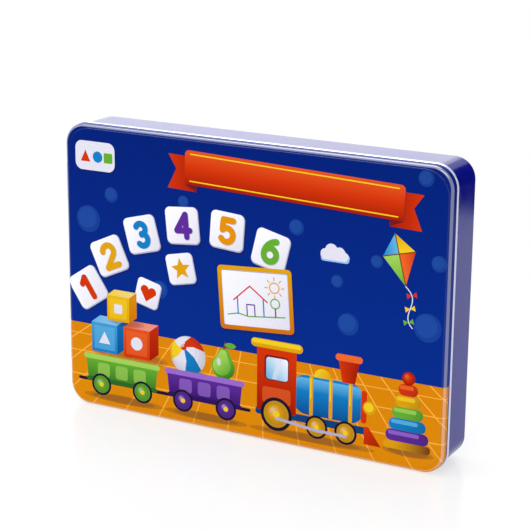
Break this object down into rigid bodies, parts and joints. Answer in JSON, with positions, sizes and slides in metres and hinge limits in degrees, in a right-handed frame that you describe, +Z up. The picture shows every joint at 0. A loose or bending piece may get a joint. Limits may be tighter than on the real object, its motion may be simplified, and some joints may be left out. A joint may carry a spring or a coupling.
{
  "type": "magnetic spelling game in a hinged tin case",
  "caption": "Hinged tin game case standing on its long edge, with a white board in the lid and a tray of letter tiles, picture cards, a marker pen and an eraser.",
  "frame": {"origin": "middle of the foot of the closed case's bounding box, standing on its long edge", "axes": "+X along the case, away from the hinge edge; -Y out of the lid's printed face; +Z up"},
  "size_m": [0.2732, 0.038, 0.1912],
  "materials": {
    "lid_print": "gloss",
    "base_lacquer": "gloss",
    "pin_steel": "satin",
    "board_white": "gloss",
    "tray_white": "satin",
    "tile_white": "satin",
    "card_paper": "satin",
    "pen_white": "gloss",
    "pen_blue": "gloss",
    "nib_felt": "matte",
    "reservoir_felt": "matte",
    "handle_orange": "gloss",
    "eraser_felt": "matte"
  },
  "bodies": {
    "case": {"base_tin": "base_lacquer", "hinge_pin_upper": "pin_steel", "hinge_pin_lower": "pin_steel", "insert_tray": "tray_white"},
    "lid": {"lid_tin": "lid_print", "writing_board": "board_white"},
    "pen": {"pen_barrel": "pen_white", "pen_reservoir": "reservoir_felt", "pen_nib": "nib_felt", "pen_end_plug": "pen_blue"},
    "pen_cap": {"pen_cap": "pen_blue"},
    "eraser": {"eraser_handle": "handle_orange", "eraser_felt": "eraser_felt"},
    "cards": {"picture_card_01": "card_paper", "picture_card_02": "card_paper", "picture_card_03": "card_paper", "picture_card_04": "card_paper", "picture_card_05": "card_paper", "picture_card_06": "card_paper", "picture_card_07": "card_paper", "picture_card_08": "card_paper", "picture_card_09": "card_paper", "picture_card_10": "card_paper"},
    "tile_A": {"letter_tile_A": "tile_white"},
    "tile_B": {"letter_tile_B": "tile_white"},
    "tile_C": {"letter_tile_C": "tile_white"},
    "tile_D": {"letter_tile_D": "tile_white"},
    "tile_E": {"letter_tile_E": "tile_white"},
    "tile_F": {"letter_tile_F": "tile_white"},
    "tile_G": {"letter_tile_G": "tile_white"},
    "tile_H": {"letter_tile_H": "tile_white"},
    "tile_I": {"letter_tile_I": "tile_white"},
    "tile_J": {"letter_tile_J": "tile_white"},
    "tile_K": {"letter_tile_K": "tile_white"},
    "tile_L": {"letter_tile_L": "tile_white"},
    "tile_M": {"letter_tile_M": "tile_white"},
    "tile_N": {"letter_tile_N": "tile_white"},
    "tile_O": {"letter_tile_O": "tile_white"},
    "tile_P": {"letter_tile_P": "tile_white"},
    "tile_Q": {"letter_tile_Q": "tile_white"},
    "tile_R": {"letter_tile_R": "tile_white"},
    "tile_S": {"letter_tile_S": "tile_white"},
    "tile_T": {"letter_tile_T": "tile_white"},
    "tile_U": {"letter_tile_U": "tile_white"},
    "tile_V": {"letter_tile_V": "tile_white"},
    "tile_W": {"letter_tile_W": "tile_white"},
    "tile_X": {"letter_tile_X": "tile_white"},
    "tile_Y": {"letter_tile_Y": "tile_white"},
    "tile_Z": {"letter_tile_Z": "tile_white"}
  },
  "joints": [
    {"name": "lid_hinge", "type": "hinge", "parent": "case", "child": "lid", "pos_m": [-0.13542, -0.0137, 0.0956], "axis": [0, 0, -1], "range_deg": [0, 180]},
    {"name": "pen_lift", "type": "slide", "parent": "case", "child": "pen", "axis": [0, -1, 0], "range_m": [0, 0.0065]},
    {"name": "cap_pull", "type": "slide", "parent": "pen", "child": "pen_cap", "axis": [1, 0, 0], "range_m": [0, 0.02]},
    {"name": "eraser_lift", "type": "slide", "parent": "case", "child": "eraser", "axis": [0, -1, 0], "range_m": [0, 0.0065]},
    {"name": "cards_lift", "type": "slide", "parent": "case", "child": "cards", "axis": [0, -1, 0], "range_m": [0, 0.0065]},
    {"name": "tile_A_lift", "type": "slide", "parent": "case", "child": "tile_A", "axis": [0, -1, 0], "range_m": [0, 0.0065]},
    {"name": "tile_B_lift", "type": "slide", "parent": "case", "child": "tile_B", "axis": [0, -1, 0], "range_m": [0, 0.0065]},
    {"name": "tile_C_lift", "type": "slide", "parent": "case", "child": "tile_C", "axis": [0, -1, 0], "range_m": [0, 0.0065]},
    {"name": "tile_D_lift", "type": "slide", "parent": "case", "child": "tile_D", "axis": [0, -1, 0], "range_m": [0, 0.0065]},
    {"name": "tile_E_lift", "type": "slide", "parent": "case", "child": "tile_E", "axis": [0, -1, 0], "range_m": [0, 0.0065]},
    {"name": "tile_F_lift", "type": "slide", "parent": "case", "child": "tile_F", "axis": [0, -1, 0], "range_m": [0, 0.0065]},
    {"name": "tile_G_lift", "type": "slide", "parent": "case", "child": "tile_G", "axis": [0, -1, 0], "range_m": [0, 0.0065]},
    {"name": "tile_H_lift", "type": "slide", "parent": "case", "child": "tile_H", "axis": [0, -1, 0], "range_m": [0, 0.0065]},
    {"name": "tile_I_lift", "type": "slide", "parent": "case", "child": "tile_I", "axis": [0, -1, 0], "range_m": [0, 0.0065]},
    {"name": "tile_J_lift", "type": "slide", "parent": "case", "child": "tile_J", "axis": [0, -1, 0], "range_m": [0, 0.0065]},
    {"name": "tile_K_lift", "type": "slide", "parent": "case", "child": "tile_K", "axis": [0, -1, 0], "range_m": [0, 0.0065]},
    {"name": "tile_L_lift", "type": "slide", "parent": "case", "child": "tile_L", "axis": [0, -1, 0], "range_m": [0, 0.0065]},
    {"name": "tile_M_lift", "type": "slide", "parent": "case", "child": "tile_M", "axis": [0, -1, 0], "range_m": [0, 0.0065]},
    {"name": "tile_N_lift", "type": "slide", "parent": "case", "child": "tile_N", "axis": [0, -1, 0], "range_m": [0, 0.0065]},
    {"name": "tile_O_lift", "type": "slide", "parent": "case", "child": "tile_O", "axis": [0, -1, 0], "range_m": [0, 0.0065]},
    {"name": "tile_P_lift", "type": "slide", "parent": "case", "child": "tile_P", "axis": [0, -1, 0], "range_m": [0, 0.0065]},
    {"name": "tile_Q_lift", "type": "slide", "parent": "case", "child": "tile_Q", "axis": [0, -1, 0], "range_m": [0, 0.0065]},
    {"name": "tile_R_lift", "type": "slide", "parent": "case", "child": "tile_R", "axis": [0, -1, 0], "range_m": [0, 0.0065]},
    {"name": "tile_S_lift", "type": "slide", "parent": "case", "child": "tile_S", "axis": [0, -1, 0], "range_m": [0, 0.0065]},
    {"name": "tile_T_lift", "type": "slide", "parent": "case", "child": "tile_T", "axis": [0, -1, 0], "range_m": [0, 0.0065]},
    {"name": "tile_U_lift", "type": "slide", "parent": "case", "child": "tile_U", "axis": [0, -1, 0], "range_m": [0, 0.0065]},
    {"name": "tile_V_lift", "type": "slide", "parent": "case", "child": "tile_V", "axis": [0, -1, 0], "range_m": [0, 0.0065]},
    {"name": "tile_W_lift", "type": "slide", "parent": "case", "child": "tile_W", "axis": [0, -1, 0], "range_m": [0, 0.0065]},
    {"name": "tile_X_lift", "type": "slide", "parent": "case", "child": "tile_X", "axis": [0, -1, 0], "range_m": [0, 0.0065]},
    {"name": "tile_Y_lift", "type": "slide", "parent": "case", "child": "tile_Y", "axis": [0, -1, 0], "range_m": [0, 0.0065]},
    {"name": "tile_Z_lift", "type": "slide", "parent": "case", "child": "tile_Z", "axis": [0, -1, 0], "range_m": [0, 0.0065]}
  ]
}
